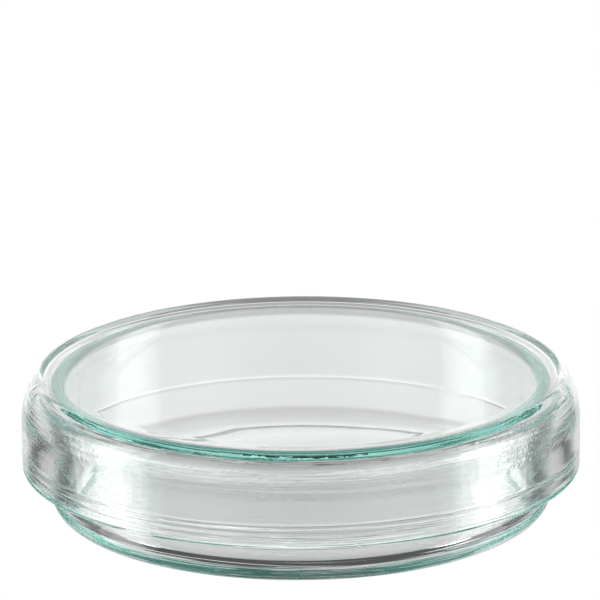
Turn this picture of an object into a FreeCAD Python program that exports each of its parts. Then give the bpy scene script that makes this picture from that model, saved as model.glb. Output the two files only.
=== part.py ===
import FreeCAD, Part
import math
import os
from FreeCAD import Vector

# A glass petri dish in two loose pieces: a shallow flat-bottomed dish, and a wider lid that drops over it
# and rests on its rim. Both are bodies of revolution about Z. Millimetres, +Z up. The origin is the centre
# of the underside, where the closed dish stands on a bench.

# Overall size, closed
LID_DIAMETER = 60.0
CLOSED_HEIGHT = 15.0

# The lid: a flat plate that turns down into a straight skirt through a tall soft shoulder
LID_WALL = 1.6
LID_PLATE = 1.8
SKIRT_END_Z = 4.85           # the skirt stops this far above the bench, and the dish shows below it
SHOULDER_RUN = 2.4           # the outer shoulder, a quarter ellipse
SHOULDER_DROP = 5.4
INNER_SHOULDER_RUN = 1.5     # the same inside
INNER_SHOULDER_DROP = 2.8
SKIRT_LIP_RADIUS = 0.35      # fire-polished corners of the skirt's lower edge

# The dish: a flat floor, a straight wall, and a rim melted round over the wall's whole thickness
DISH_DIAMETER = 53.9
DISH_WALL = 1.75
DISH_FLOOR = 1.05
HEEL_RADIUS = 2.1            # where the outside of the wall meets the underside
FLOOR_CORNER_RADIUS = 1.9    # where the inside of the wall meets the floor
RIM_GAP = 0.05               # between the rim's crest and the plate that rests on it


def line(start, end):
    """A straight edge of a section, between two (radius, height) points."""
    return Part.LineSegment(Vector(start[0], 0, start[1]), Vector(end[0], 0, end[1])).toShape()


def quarter(centre, run, rise, first_quadrant):
    """A quarter of an upright ellipse, or of a circle where run and rise are equal, in the XZ plane.

    first_quadrant counts the quarters anticlockwise from the one towards +X and +Z, starting at 0.
    """
    middle = Vector(centre[0], 0, centre[1])
    start_angle = first_quadrant * math.pi / 2
    if math.isclose(run, rise):
        curve = Part.Circle(middle, Vector(0, -1, 0), run)
        curve.XAxis = Vector(1, 0, 0)
    elif rise > run:
        curve = Part.Ellipse(middle + Vector(0, 0, rise), middle + Vector(-run, 0, 0), middle)
        start_angle -= math.pi / 2
    else:
        curve = Part.Ellipse(middle + Vector(run, 0, 0), middle + Vector(0, 0, rise), middle)
    return curve.toShape(start_angle, start_angle + math.pi / 2)


def turned(edges):
    """The solid made by turning a closed section about Z."""
    section = Part.Face(Part.Wire(Part.__sortEdges__(edges)))
    solid = Part.Solid(section.revolve(Vector(0, 0, 0), Vector(0, 0, 1), 360))
    if solid.Volume < 0:
        solid.reverse()
    return solid


def dish():
    outer = DISH_DIAMETER / 2
    inner = outer - DISH_WALL
    rim_radius = DISH_WALL / 2
    rim_centre_z = CLOSED_HEIGHT - LID_PLATE - RIM_GAP - rim_radius
    floor_z = DISH_FLOOR
    return turned([
        line((0, 0), (outer - HEEL_RADIUS, 0)),
        quarter((outer - HEEL_RADIUS, HEEL_RADIUS), HEEL_RADIUS, HEEL_RADIUS, 3),
        line((outer, HEEL_RADIUS), (outer, rim_centre_z)),
        quarter((outer - rim_radius, rim_centre_z), rim_radius, rim_radius, 0),
        quarter((outer - rim_radius, rim_centre_z), rim_radius, rim_radius, 1),
        line((inner, rim_centre_z), (inner, floor_z + FLOOR_CORNER_RADIUS)),
        quarter((inner - FLOOR_CORNER_RADIUS, floor_z + FLOOR_CORNER_RADIUS),
                FLOOR_CORNER_RADIUS, FLOOR_CORNER_RADIUS, 3),
        line((inner - FLOOR_CORNER_RADIUS, floor_z), (0, floor_z)),
        line((0, floor_z), (0, 0)),
    ])


def lid():
    outer = LID_DIAMETER / 2
    inner = outer - LID_WALL
    top_z = CLOSED_HEIGHT
    underside_z = top_z - LID_PLATE
    lip = SKIRT_LIP_RADIUS
    lip_z = SKIRT_END_Z + lip
    return turned([
        line((0, top_z), (outer - SHOULDER_RUN, top_z)),
        quarter((outer - SHOULDER_RUN, top_z - SHOULDER_DROP), SHOULDER_RUN, SHOULDER_DROP, 0),
        line((outer, top_z - SHOULDER_DROP), (outer, lip_z)),
        quarter((outer - lip, lip_z), lip, lip, 3),
        line((outer - lip, SKIRT_END_Z), (inner + lip, SKIRT_END_Z)),
        quarter((inner + lip, lip_z), lip, lip, 2),
        line((inner, lip_z), (inner, underside_z - INNER_SHOULDER_DROP)),
        quarter((inner - INNER_SHOULDER_RUN, underside_z - INNER_SHOULDER_DROP),
                INNER_SHOULDER_RUN, INNER_SHOULDER_DROP, 0),
        line((inner - INNER_SHOULDER_RUN, underside_z), (0, underside_z)),
        line((0, underside_z), (0, top_z)),
    ])


os.makedirs("parts", exist_ok=True)
for name, make in (("dish", dish), ("lid", lid)):
    shape = make()
    shape.exportStep("parts/" + name + ".step")
    print(name, "valid:", shape.isValid(), "closed:", shape.isClosed(), "mm3:", round(shape.Volume, 1))
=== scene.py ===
import math

import bmesh
import bpy
from mathutils import Matrix, Vector, noise


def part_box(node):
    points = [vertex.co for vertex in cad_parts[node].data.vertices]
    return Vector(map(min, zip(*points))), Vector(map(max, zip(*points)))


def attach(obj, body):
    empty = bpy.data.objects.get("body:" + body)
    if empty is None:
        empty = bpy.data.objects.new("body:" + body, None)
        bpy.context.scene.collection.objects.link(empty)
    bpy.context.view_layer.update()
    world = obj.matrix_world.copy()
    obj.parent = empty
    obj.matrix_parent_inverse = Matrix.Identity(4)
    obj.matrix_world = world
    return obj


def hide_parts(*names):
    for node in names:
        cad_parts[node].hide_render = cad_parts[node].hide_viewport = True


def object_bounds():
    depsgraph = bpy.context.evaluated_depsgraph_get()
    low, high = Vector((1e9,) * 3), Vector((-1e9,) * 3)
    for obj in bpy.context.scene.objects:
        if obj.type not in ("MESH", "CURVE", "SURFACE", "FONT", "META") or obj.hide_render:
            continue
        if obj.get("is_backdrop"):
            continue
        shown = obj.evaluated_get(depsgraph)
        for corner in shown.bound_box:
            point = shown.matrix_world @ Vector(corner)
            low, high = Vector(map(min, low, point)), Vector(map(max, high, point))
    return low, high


# A closed glass petri dish: the dish, and the lid that rests on its rim. Each piece is one closed glass body,
# its section turned about Z and then given the small unevenness of pressed glass. Metres.

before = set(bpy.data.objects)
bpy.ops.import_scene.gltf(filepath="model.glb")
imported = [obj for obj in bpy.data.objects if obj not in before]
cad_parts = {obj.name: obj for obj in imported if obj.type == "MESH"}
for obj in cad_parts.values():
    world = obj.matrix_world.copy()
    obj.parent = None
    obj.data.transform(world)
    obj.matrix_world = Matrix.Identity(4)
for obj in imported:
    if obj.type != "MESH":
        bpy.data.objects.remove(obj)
cad_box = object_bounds()

MM = 0.001

# The lid's section, inside the box that the frame gives
LID_WALL = 1.6 * MM
LID_PLATE = 1.8 * MM
SHOULDER = (2.4 * MM, 5.4 * MM)            # run and drop of the outer quarter ellipse
INNER_SHOULDER = (1.5 * MM, 2.8 * MM)
SKIRT_LIP = 0.35 * MM

# The dish's section
DISH_WALL = 1.75 * MM
DISH_FLOOR = 1.05 * MM
HEEL = 2.1 * MM
FLOOR_CORNER = 1.9 * MM

# How finely the sections are cut
SPOKES = 432                               # steps round the axis
CURVE_STEP = 0.16 * MM                     # along rounded parts of a section
RIPPLE_STEP = 0.11 * MM                    # where the glass is ridged
FLAT_STEP = 2.2 * MM                       # along the plate and the floor
WALL_STEP = 0.3 * MM
SAME_POINT = 0.01 * MM                     # points of a section nearer than this are one
FEWEST_STEPS = 6                           # on any quarter of an ellipse


# ---------------------------------------------------------------- sections

def straight(start, end, step):
    """Points along a straight run of a section, (radius, height) each."""
    count = max(1, round(math.dist(start, end) / step))
    return [(start[0] + (end[0] - start[0]) * i / count, start[1] + (end[1] - start[1]) * i / count)
            for i in range(count + 1)]


def quarter(centre, run, rise, quadrant, step=CURVE_STEP):
    """Points on a quarter of an upright ellipse, anticlockwise; quadrant 0 is the one outward and up."""
    count = max(FEWEST_STEPS, round(math.pi / 4 * (run + rise) / step))
    points = []
    for i in range(count + 1):
        a = (quadrant + i / count) * math.pi / 2
        points.append((centre[0] + run * math.cos(a), centre[1] + rise * math.sin(a)))
    return points


def lid_section(outer, low, top):
    """From the axis under the plate, down inside the skirt, up outside it and back to the axis on top."""
    inner, under = outer - LID_WALL, top - LID_PLATE
    run, drop = SHOULDER
    inner_run, inner_drop = INNER_SHOULDER
    lip_z = low + SKIRT_LIP
    return (
        straight((0, under), (inner - inner_run, under), FLAT_STEP)
        + quarter((inner - inner_run, under - inner_drop), inner_run, inner_drop, 0)[::-1]
        + straight((inner, under - inner_drop), (inner, lip_z), WALL_STEP)
        + quarter((inner + SKIRT_LIP, lip_z), SKIRT_LIP, SKIRT_LIP, 2)
        + quarter((outer - SKIRT_LIP, lip_z), SKIRT_LIP, SKIRT_LIP, 3)
        + straight((outer, lip_z), (outer, top - drop), RIPPLE_STEP)
        + quarter((outer - run, top - drop), run, drop, 0, RIPPLE_STEP)
        + straight((outer - run, top), (0, top), FLAT_STEP)
    )


def dish_section(outer, low, top):
    """From the axis under the floor, up the wall's outside, over the rim and down to the axis inside."""
    inner, floor, rim = outer - DISH_WALL, low + DISH_FLOOR, DISH_WALL / 2
    return (
        straight((0, low), (outer - HEEL, low), FLAT_STEP)
        + quarter((outer - HEEL, low + HEEL), HEEL, HEEL, 3)
        + straight((outer, low + HEEL), (outer, top - rim), WALL_STEP)
        + quarter((outer - rim, top - rim), rim, rim, 0, RIPPLE_STEP)
        + quarter((outer - rim, top - rim), rim, rim, 1, RIPPLE_STEP)
        + straight((inner, top - rim), (inner, floor + FLOOR_CORNER), WALL_STEP)
        + quarter((inner - FLOOR_CORNER, floor + FLOOR_CORNER), FLOOR_CORNER, FLOOR_CORNER, 3)[::-1]
        + straight((inner - FLOOR_CORNER, floor), (0, floor), FLAT_STEP)
    )


# ---------------------------------------------------------------- unevenness of the glass

# Ridges that run round a piece, left by the tool while it spun. (lowest z, highest z, spacing, depth)
LID_RIDGES = (
    (10.9 * MM, 13.8 * MM, 0.55 * MM, 0.024 * MM),
    (4.6 * MM, 6.4 * MM, 0.42 * MM, 0.020 * MM),
    (6.4 * MM, 10.9 * MM, 0.8 * MM, 0.005 * MM),
)
DISH_RIDGES = (
    (12.4 * MM, 14.2 * MM, 0.5 * MM, 0.012 * MM),
    (0.0 * MM, 2.4 * MM, 0.45 * MM, 0.018 * MM),
)
RIDGE_FADE = 0.5 * MM                      # a band's ridges die away over this height
SAG = 0.004 * MM                           # broad waves, over a few millimetres
SAG_LENGTH = 5.5 * MM
BAND_SHIFT = 7.3                           # sets one band's pattern of ridges apart from the next
RIDGE_DRIFT = 0.8                          # how far the ridges change on their way round
RIDGE_WOBBLE = 0.35
PLATE_WEDGE = 0.0085                       # slope of the plate's top over its underside, rising to the back
FACING_UP = 0.9                            # a normal's z beyond which the skin counts as the plate's top

# The walls and shoulders are uneven, and the plate and the floor are not. The ridges are on the front half.
WALL_RADIUS = 24.8 * MM
WALL_FADE = 1.5 * MM
FRONT_Y = 6 * MM
FRONT_FADE = 10 * MM


def rise(value, full, width):
    """1 from full upwards, falling smoothly to 0 over the width below it."""
    t = max(0.0, min(1.0, (value - full) / width + 1))
    return t * t * (3 - 2 * t)


def fade(value, low, high, width):
    """1 between low and high, falling smoothly to 0 over the width beyond them."""
    return min(rise(value, low, width), rise(-value, -high, width))


def ridges(bands, z, angle, seed):
    """The height of the ridges at one place on a wall."""
    height = 0.0
    for i, (low, high, spacing, depth) in enumerate(bands):
        strength = fade(z, low, high, RIDGE_FADE)
        if strength:
            place = Vector((z / spacing, seed + BAND_SHIFT * i, RIDGE_DRIFT * math.cos(angle)))
            place += Vector((RIDGE_WOBBLE * math.sin(angle * 2 + i), RIDGE_DRIFT * math.sin(angle), 0))
            height += strength * depth * noise.noise(place)
    return height


def unevenness(point, bands, seed):
    """How far a point of a piece's skin stands off its true section."""
    on_wall = rise(math.hypot(point.x, point.y), WALL_RADIUS, WALL_FADE)
    wave = noise.noise(point / SAG_LENGTH + Vector((seed, 0, 0))) * SAG
    rings = ridges(bands, point.z, math.atan2(point.y, point.x), seed)
    at_front = rise(-point.y, -FRONT_Y, FRONT_FADE)
    return (wave + rings * at_front) * on_wall


# ---------------------------------------------------------------- meshes

def turned(name, section):
    """A closed body: the section, from the axis out and back to the axis, turned about Z."""
    ring_points = [section[1]]
    for point in section[2:-1]:
        if math.dist(point, ring_points[-1]) > SAME_POINT:
            ring_points.append(point)
    bm = bmesh.new()
    first_pole = bm.verts.new((0, 0, section[0][1]))
    rings = []
    angles = [2 * math.pi * k / SPOKES for k in range(SPOKES)]
    for radius, z in ring_points:
        rings.append([bm.verts.new((radius * math.cos(a), radius * math.sin(a), z)) for a in angles])
    last_pole = bm.verts.new((0, 0, section[-1][1]))
    for k in range(SPOKES):
        after = (k + 1) % SPOKES
        bm.faces.new((first_pole, rings[0][after], rings[0][k]))
        for inner, outer in zip(rings, rings[1:]):
            bm.faces.new((inner[k], inner[after], outer[after], outer[k]))
        bm.faces.new((rings[-1][k], rings[-1][after], last_pole))
    if bm.calc_volume(signed=True) < 0:
        bmesh.ops.reverse_faces(bm, faces=bm.faces)
    mesh = bpy.data.meshes.new(name)
    bm.to_mesh(mesh)
    bm.free()
    mesh.shade_smooth()
    piece = bpy.data.objects.new(name, mesh)
    bpy.context.scene.collection.objects.link(piece)
    return piece


def press(piece, bands, seed, wedge):
    """Give the skin its unevenness, and the upward-facing outside of a lid its slight slope."""
    mesh = piece.data
    normals = [v.normal.copy() for v in mesh.vertices]
    for vertex, normal in zip(mesh.vertices, normals):
        faces_up = rise(normal.z, FACING_UP, FACING_UP)
        vertex.co += normal * unevenness(vertex.co, bands, seed)
        vertex.co.z += wedge * vertex.co.y * faces_up
    mesh.update()


# ---------------------------------------------------------------- glass

GLASS_TINT = (0.52, 0.90, 0.85, 1)         # what a long path through the glass leaves
GLASS_DENSITY = 32                         # per metre
GLASS_IOR = 1.52
MICRON = 0.001 * MM
WHITE = (1, 1, 1, 1)

# The patterns in the skin: the size of their features, how far they are drawn out round the piece, how many
# finer octaves they have, and a shift that keeps each apart from the others.
LINES = (0.5 * MM, 70, 2, 5)               # tool lines round the piece: small steps in the skin
GRAIN = (0.2 * MM, 60, 1, 19)              # the finer grain between them
PATCHES = (6 * MM, 2.5, 2, 0)              # the orange peel comes in patches
PEEL = (0.42 * MM, 1.6, 1, 31)             # orange peel
SMEARS = (9 * MM, 3, 3, 57)                # wiped smears
BREAKS = (6 * MM, 1, 4, 83)                # what breaks the smears up
CAST = (14 * MM, 1, 3, 11)                 # slow drift of the surface's own tint

# Depths in microns
UPPER_LINE_STEP = 12
LOWER_LINE_STEP = 35
GRAIN_DEPTH = 8
QUIET_GRAIN = 0.2 * GRAIN_DEPTH            # between the bands of lines
PEEL_DEPTH = 16
QUIET_PEEL = 0.12                          # share of the peel that is left between its patches

# The values of each pattern between which it goes from nothing to full
LINE_EDGES = (0.46, 0.54)
WIDE_EDGES = (0.2, 0.8)                    # for the grain and the peel
PATCH_EDGES = (0.44, 0.60)
SMEAR_EDGES = (0.60, 0.72)
BREAK_EDGES = (0.40, 0.60)
CAST_EDGES = (0.35, 0.65)

SMEAR_ROUGHNESS = 0.05
THIN_SMEAR = 0.3                           # share of its roughness where a smear is broken up
CAST_COLOR = (0.985, 0.995, 0.992, 1)

# Lines, grain and peel are on the walls only, and fade out towards the back
MARKED_RADIUS = (24.8 * MM, 26 * MM)
MARKED_Y = (4 * MM, 16 * MM)
BAND_FADE = 0.5 * MM


def clear_glass(name, seed, line_bands, peel_band):
    """Glass tinted in its body, with tool lines, patches of orange peel and a few wiped smears."""
    material = bpy.data.materials.new(name)
    material.use_nodes = True
    tree = material.node_tree
    shader = tree.nodes["Principled BSDF"]
    shader.inputs["Transmission Weight"].default_value = 1
    shader.inputs["IOR"].default_value = GLASS_IOR
    absorption = tree.nodes.new("ShaderNodeVolumeAbsorption")
    absorption.inputs["Color"].default_value = GLASS_TINT
    absorption.inputs["Density"].default_value = GLASS_DENSITY
    tree.links.new(absorption.outputs[0], tree.nodes["Material Output"].inputs["Volume"])
    place = tree.nodes.new("ShaderNodeTexCoord").outputs["Object"]

    def scaled(scale, shift=0.0):
        """The place on the piece, scaled, and moved along X by so many millimetres."""
        mapping = tree.nodes.new("ShaderNodeMapping")
        mapping.inputs["Scale"].default_value = scale
        mapping.inputs["Location"].default_value = (shift * MM, 0, 0)
        tree.links.new(place, mapping.inputs["Vector"])
        return mapping.outputs[0]

    def speckle(pattern):
        """Noise, from 0 to 1, as one of the patterns describes it."""
        length, stretch, detail, shift = pattern
        texture = tree.nodes.new("ShaderNodeTexNoise")
        texture.inputs["Scale"].default_value = 1 / length
        texture.inputs["Detail"].default_value = detail
        tree.links.new(scaled((1 / stretch, 1 / stretch, 1), seed + shift), texture.inputs["Vector"])
        return texture.outputs["Fac"]

    def remap(value, source, target=(0, 1)):
        """The value carried smoothly from one range to another, and held at its ends."""
        node = tree.nodes.new("ShaderNodeMapRange")
        node.interpolation_type = "SMOOTHSTEP"
        tree.links.new(value, node.inputs["Value"])
        for socket, setting in zip(("From Min", "From Max", "To Min", "To Max"), (*source, *target)):
            node.inputs[socket].default_value = setting
        return node.outputs[0]

    def combine(operation, first, second):
        node = tree.nodes.new("ShaderNodeMath")
        node.operation = operation
        tree.links.new(first, node.inputs[0])
        tree.links.new(second, node.inputs[1])
        return node.outputs[0]

    def product(first, second):
        return combine("MULTIPLY", first, second)

    def total(first, second):
        return combine("ADD", first, second)

    split = tree.nodes.new("ShaderNodeSeparateXYZ")
    tree.links.new(place, split.inputs[0])
    radius = tree.nodes.new("ShaderNodeVectorMath")
    radius.operation = "LENGTH"
    tree.links.new(scaled((1, 1, 0)), radius.inputs[0])
    marked = product(remap(radius.outputs["Value"], MARKED_RADIUS),
                     remap(split.outputs["Y"], MARKED_Y, (1, 0)))

    def band(low, high):
        """1 between two heights, falling to 0 just beyond them."""
        z = split.outputs["Z"]
        return product(remap(z, (low - BAND_FADE, low)), remap(z, (high, high + BAND_FADE), (1, 0)))

    upper, lower = (band(*heights) for heights in line_bands)
    line_step = total(remap(upper, (0, 1), (0, UPPER_LINE_STEP)),
                      remap(lower, (0, 1), (0, LOWER_LINE_STEP)))
    lines = product(remap(speckle(LINES), LINE_EDGES), line_step)
    grain_depth = total(remap(upper, (0, 1), (QUIET_GRAIN, GRAIN_DEPTH)),
                        remap(lower, (0, 1), (0, GRAIN_DEPTH)))
    grain = product(remap(speckle(GRAIN), WIDE_EDGES), grain_depth)
    patches = product(band(*peel_band), remap(speckle(PATCHES), PATCH_EDGES, (QUIET_PEEL, 1)))
    peel = product(remap(speckle(PEEL), WIDE_EDGES, (0, PEEL_DEPTH)), patches)
    bump = tree.nodes.new("ShaderNodeBump")
    bump.inputs["Strength"].default_value = 1
    bump.inputs["Distance"].default_value = MICRON
    tree.links.new(product(total(total(lines, grain), peel), marked), bump.inputs["Height"])
    tree.links.new(bump.outputs[0], shader.inputs["Normal"])

    smears = product(remap(speckle(SMEARS), SMEAR_EDGES),
                     remap(speckle(BREAKS), BREAK_EDGES, (THIN_SMEAR, 1)))
    tree.links.new(remap(smears, (0, 1), (0, SMEAR_ROUGHNESS)), shader.inputs["Roughness"])

    cast = tree.nodes.new("ShaderNodeValToRGB")
    for stop, position, color in zip(cast.color_ramp.elements, CAST_EDGES, (CAST_COLOR, WHITE)):
        stop.position = position
        stop.color = color
    tree.links.new(speckle(CAST), cast.inputs[0])
    tree.links.new(cast.outputs[0], shader.inputs["Base Color"])
    return material


def build(node, section, bands, line_bands, peel_band, seed, wedge=0.0):
    """Make one piece in the box of its node, and let it ride there in the node's place."""
    low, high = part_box(node)
    piece = turned(node + "_glass", section(high.x, low.z, high.z))
    press(piece, bands, seed, wedge)
    piece.data.materials.append(clear_glass(node + "_glass", seed, line_bands, peel_band))
    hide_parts(node)
    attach(piece, node)


# Where the tool lines and the orange peel are, in heights above the bench, and a seed for each piece
DISH_LINE_BANDS = (12.2 * MM, 14 * MM), (0.1 * MM, 2.4 * MM)
DISH_PEEL_BAND = (3.4 * MM, 4.6 * MM)
DISH_SEED = 3.1
LID_LINE_BANDS = (11.2 * MM, 14 * MM), (4.8 * MM, 7 * MM)
LID_PEEL_BAND = (10.2 * MM, 12.8 * MM)
LID_SEED = 11.7
build("dish", dish_section, DISH_RIDGES, DISH_LINE_BANDS, DISH_PEEL_BAND, DISH_SEED)
build("lid", lid_section, LID_RIDGES, LID_LINE_BANDS, LID_PEEL_BAND, LID_SEED, PLATE_WEDGE)


# ---------------------------------------------------------------- studio

# Each panel of light: azimuth of its middle, half its width, elevation of its middle, half its height, how
# soft its edges are, and its strength. Degrees; azimuth 0 is the camera's side and 90 is its right. Where
# panels overlap, their strengths add up.
PANELS = (
    (90.5, 14.5, -6, 42, 1.2, 2.3),        # a tall bright box on each side
    (-90.5, 14.5, -6, 42, 1.2, 2.3),
    (50, 20, 37, 26, 8, 0.6),              # light above, reaching round towards the front
    (-50, 20, 37, 26, 8, 0.6),
    (180, 27, -26, 27, 8, 0.4),            # the sweep behind, below the horizon
    (180, 27, 14, 15, 8, 0.8),             # above it
    (180, 27, -5, 12, 12, 0.5),            # and the brighter horizon between
    (180, 60, 48, 12, 8, 0.3),             # a faint panel high up behind
    (130, 24, 22, 17, 10, 0.45),           # the sweep's wings
    (-130, 24, 22, 17, 10, 0.45),
    (0, 180, -24, 26, 8, 0.13),            # the bench all round
    (0, 180, -72, 20, 8, 0.06),            # and close under the glass
    (0, 180, 80, 20, 10, 0.05),            # the ceiling
)
ROOM_LIGHT = 0.03
LIGHT_COLOR = (1.03, 1, 0.995, 1)
BACKDROP = 1.0                             # what the eye sees behind and below
FLOOR_SIDE = 1.6
FLOOR_GAP = 0.02 * MM                      # the floor is this far below the dish


def studio_world():
    """Light that depends only on its direction; the eye itself sees a plain white backdrop."""
    world = bpy.data.worlds.new("studio")
    bpy.context.scene.world = world
    world.use_nodes = True
    tree = world.node_tree
    background = tree.nodes["Background"]

    def calculate(operation, *values):
        node = tree.nodes.new("ShaderNodeMath")
        node.operation = operation
        for socket, value in zip(node.inputs, values):
            if isinstance(value, (int, float)):
                socket.default_value = value
            else:
                tree.links.new(value, socket)
        return node.outputs[0]

    def within(angle, half_width, softness):
        """1 inside the half width, falling smoothly to 0 across the edge."""
        node = tree.nodes.new("ShaderNodeMapRange")
        node.interpolation_type = "SMOOTHSTEP"
        tree.links.new(calculate("ABSOLUTE", angle), node.inputs["Value"])
        node.inputs["From Min"].default_value = half_width - softness / 2
        node.inputs["From Max"].default_value = half_width + softness / 2
        node.inputs["To Min"].default_value = 1
        node.inputs["To Max"].default_value = 0
        return node.outputs[0]

    direction = tree.nodes.new("ShaderNodeSeparateXYZ")
    tree.links.new(tree.nodes.new("ShaderNodeTexCoord").outputs["Generated"], direction.inputs[0])
    x, y, z = direction.outputs
    degrees = 180 / math.pi
    azimuth = calculate("MULTIPLY", calculate("ARCTAN2", x, calculate("MULTIPLY", y, -1)), degrees)
    elevation = calculate("MULTIPLY", calculate("ARCSINE", z), degrees)
    light = ROOM_LIGHT
    for middle, half_width, height, half_height, softness, strength in PANELS:
        off_axis = calculate("WRAP", calculate("SUBTRACT", azimuth, middle), 180, -180)
        across = within(off_axis, half_width, softness)
        up = within(calculate("SUBTRACT", elevation, height), half_height, softness)
        light = calculate("MULTIPLY_ADD", calculate("MULTIPLY", across, up), strength, light)
    seen = tree.nodes.new("ShaderNodeLightPath").outputs["Is Camera Ray"]
    mix = tree.nodes.new("ShaderNodeMix")
    tree.links.new(seen, mix.inputs["Factor"])
    tree.links.new(light, mix.inputs["A"])
    mix.inputs["B"].default_value = BACKDROP
    tree.links.new(mix.outputs["Result"], background.inputs["Strength"])
    tint = tree.nodes.new("ShaderNodeMix")
    tint.data_type = "RGBA"
    tree.links.new(seen, tint.inputs["Factor"])
    tint.inputs["A"].default_value = LIGHT_COLOR
    tint.inputs["B"].default_value = WHITE
    tree.links.new(tint.outputs["Result"], background.inputs["Color"])


def studio_floor():
    """A pale floor, which only the eye sees: the glass is lit by the panels alone."""
    half = FLOOR_SIDE / 2
    mesh = bpy.data.meshes.new("studio_floor")
    corners = [(-half, -half, 0), (half, -half, 0), (half, half, 0), (-half, half, 0)]
    mesh.from_pydata(corners, [], [(0, 1, 2, 3)])
    floor = bpy.data.objects.new("studio_floor", mesh)
    bpy.context.scene.collection.objects.link(floor)
    floor.location.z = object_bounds()[0].z - FLOOR_GAP
    material = bpy.data.materials.new("studio_floor")
    material.use_nodes = True
    tree = material.node_tree
    tree.nodes.remove(tree.nodes["Principled BSDF"])
    glow = tree.nodes.new("ShaderNodeEmission")
    glow.inputs["Strength"].default_value = BACKDROP
    tree.links.new(glow.outputs[0], tree.nodes["Material Output"].inputs["Surface"])
    mesh.materials.append(material)
    floor.visible_glossy = False
    floor.visible_transmission = False
    floor.visible_diffuse = False
    floor.visible_shadow = False
    floor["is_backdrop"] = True


CAMERA_TILT = 17.73                        # degrees above the horizontal
CAMERA_DISTANCE = 16.57                    # in lid radii
CAMERA_ROLL = 0.4                          # degrees, which lifts the right side of the view
DROP = 1.6912                              # degrees, the dish's middle below the line of sight
LENS = 276.78                              # millimetres, as the sensor's width is
SENSOR = 36
CLIP = (0.01, 10)


def studio_camera():
    tilt = math.radians(CAMERA_TILT)
    low, high = cad_box
    data = bpy.data.cameras.new("camera")
    camera = bpy.data.objects.new("camera", data)
    bpy.context.scene.collection.objects.link(camera)
    away = Vector((0, -math.cos(tilt), math.sin(tilt))) * CAMERA_DISTANCE * high.x
    camera.location = (low + high) / 2 + away
    aim = math.pi / 2 - tilt + math.radians(DROP)
    turn = Matrix.Rotation(aim, 3, "X") @ Matrix.Rotation(-math.radians(CAMERA_ROLL), 3, "Z")
    camera.rotation_euler = turn.to_euler()
    data.sensor_width = SENSOR
    data.lens = LENS
    data.clip_start, data.clip_end = CLIP
    bpy.context.scene.camera = camera


LIGHT_BOUNCES = 128                        # light runs far round inside the plate and the walls


def studio_render():
    scene = bpy.context.scene
    scene.view_settings.view_transform = "Standard"
    scene.cycles.max_bounces = LIGHT_BOUNCES
    scene.cycles.transmission_bounces = LIGHT_BOUNCES
    scene.cycles.glossy_bounces = LIGHT_BOUNCES


studio_world()
studio_floor()
studio_camera()
studio_render()
